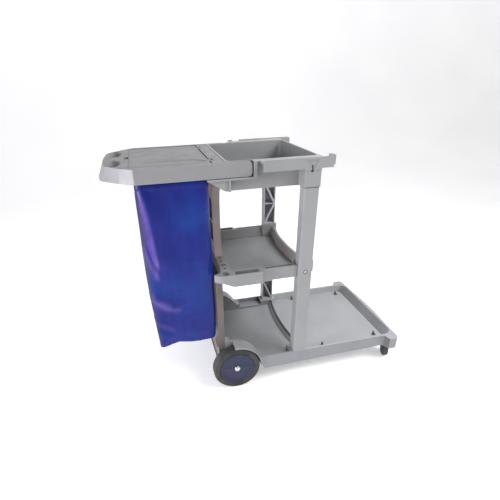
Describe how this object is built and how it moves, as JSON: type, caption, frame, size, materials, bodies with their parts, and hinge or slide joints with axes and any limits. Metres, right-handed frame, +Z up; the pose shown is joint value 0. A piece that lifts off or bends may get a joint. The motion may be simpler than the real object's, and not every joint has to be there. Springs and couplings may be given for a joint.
{
  "type": "housekeeping cart",
  "caption": "Wheeled housekeeping cart with a top tray basin, a middle shelf, a low bucket platform, and a lidded hanging bag at the push-handle end.",
  "frame": {"origin": "on the floor, under the middle of the cart's overall length and width", "axes": "+Z up, +X towards the bucket-platform end (the push handle is at -X), +Y towards the far long side"},
  "size_m": [1.21, 0.558, 0.975],
  "materials": {
    "grey_plastic": "satin, faintly grained",
    "grey_plastic_dark": "satin",
    "bag_vinyl": "glossy coated",
    "wheel_plastic": "satin",
    "tyre_rubber": "matt",
    "black_plastic": "satin",
    "steel": "zinc-bright"
  },
  "bodies": {
    "cart": {"base_platform": "grey_plastic", "rear_panel_lower": "grey_plastic_dark", "rear_upright_upper": "grey_plastic_dark", "post_near": "grey_plastic", "post_far": "grey_plastic", "middle_shelf": "grey_plastic", "top_tray": "grey_plastic", "bag_frame": "grey_plastic", "lid_hinge_pin_near": "steel", "lid_hinge_pin_far": "steel", "bag": "bag_vinyl", "bag_hook_near_1": "grey_plastic_dark", "bag_hook_far_1": "grey_plastic_dark", "bag_hook_near_2": "grey_plastic_dark", "bag_hook_far_2": "grey_plastic_dark", "bag_hook_near_3": "grey_plastic_dark", "bag_hook_far_3": "grey_plastic_dark", "rear_axle": "steel", "axle_washer_near": "steel", "axle_washer_far": "steel", "axle_cap_near": "steel", "axle_cap_far": "steel", "caster_stem_near": "steel", "caster_stem_far": "steel", "shelf_screw_near": "steel", "shelf_screw_far": "steel", "crossbar_screw_near": "steel", "crossbar_screw_far": "steel", "upright_screw_near": "steel", "upright_screw_far": "steel", "panel_screw_near": "steel", "panel_screw_far": "steel"},
    "lid": {"lid": "grey_plastic"},
    "wheel_near": {"wheel_tyre_near": "tyre_rubber", "wheel_hub_near": "wheel_plastic"},
    "wheel_far": {"wheel_tyre_far": "tyre_rubber", "wheel_hub_far": "wheel_plastic"},
    "caster_near": {"caster_fork_near": "black_plastic", "caster_axle_near": "steel"},
    "caster_far": {"caster_fork_far": "black_plastic", "caster_axle_far": "steel"},
    "caster_wheel_near": {"caster_tyre_near": "tyre_rubber", "caster_hub_near": "wheel_plastic"},
    "caster_wheel_far": {"caster_tyre_far": "tyre_rubber", "caster_hub_far": "wheel_plastic"}
  },
  "joints": [
    {"name": "lid_hinge", "type": "hinge", "parent": "cart", "child": "lid", "pos_m": [-0.217, 0, 0.9555], "axis": [0, 1, 0], "range_deg": [0, 100]},
    {"name": "wheel_near_spin", "type": "hinge", "parent": "cart", "child": "wheel_near", "pos_m": [-0.1635, -0.229, 0.102], "axis": [0, 1, 0], "continuous": true},
    {"name": "wheel_far_spin", "type": "hinge", "parent": "cart", "child": "wheel_far", "pos_m": [-0.1635, 0.229, 0.102], "axis": [0, 1, 0], "continuous": true},
    {"name": "caster_near_swivel", "type": "hinge", "parent": "cart", "child": "caster_near", "pos_m": [0.57, -0.237, 0.09], "axis": [0, 0, 1], "continuous": true},
    {"name": "caster_near_roll", "type": "hinge", "parent": "caster_near", "child": "caster_wheel_near", "pos_m": [0.57814, -0.21336, 0.0375], "axis": [-0.9455, 0.3256, 0], "continuous": true},
    {"name": "caster_far_swivel", "type": "hinge", "parent": "cart", "child": "caster_far", "pos_m": [0.57, 0.237, 0.09], "axis": [0, 0, 1], "continuous": true},
    {"name": "caster_far_roll", "type": "hinge", "parent": "caster_far", "child": "caster_wheel_far", "pos_m": [0.54609, 0.24431, 0.0375], "axis": [-0.2924, -0.9563, 0], "continuous": true}
  ]
}
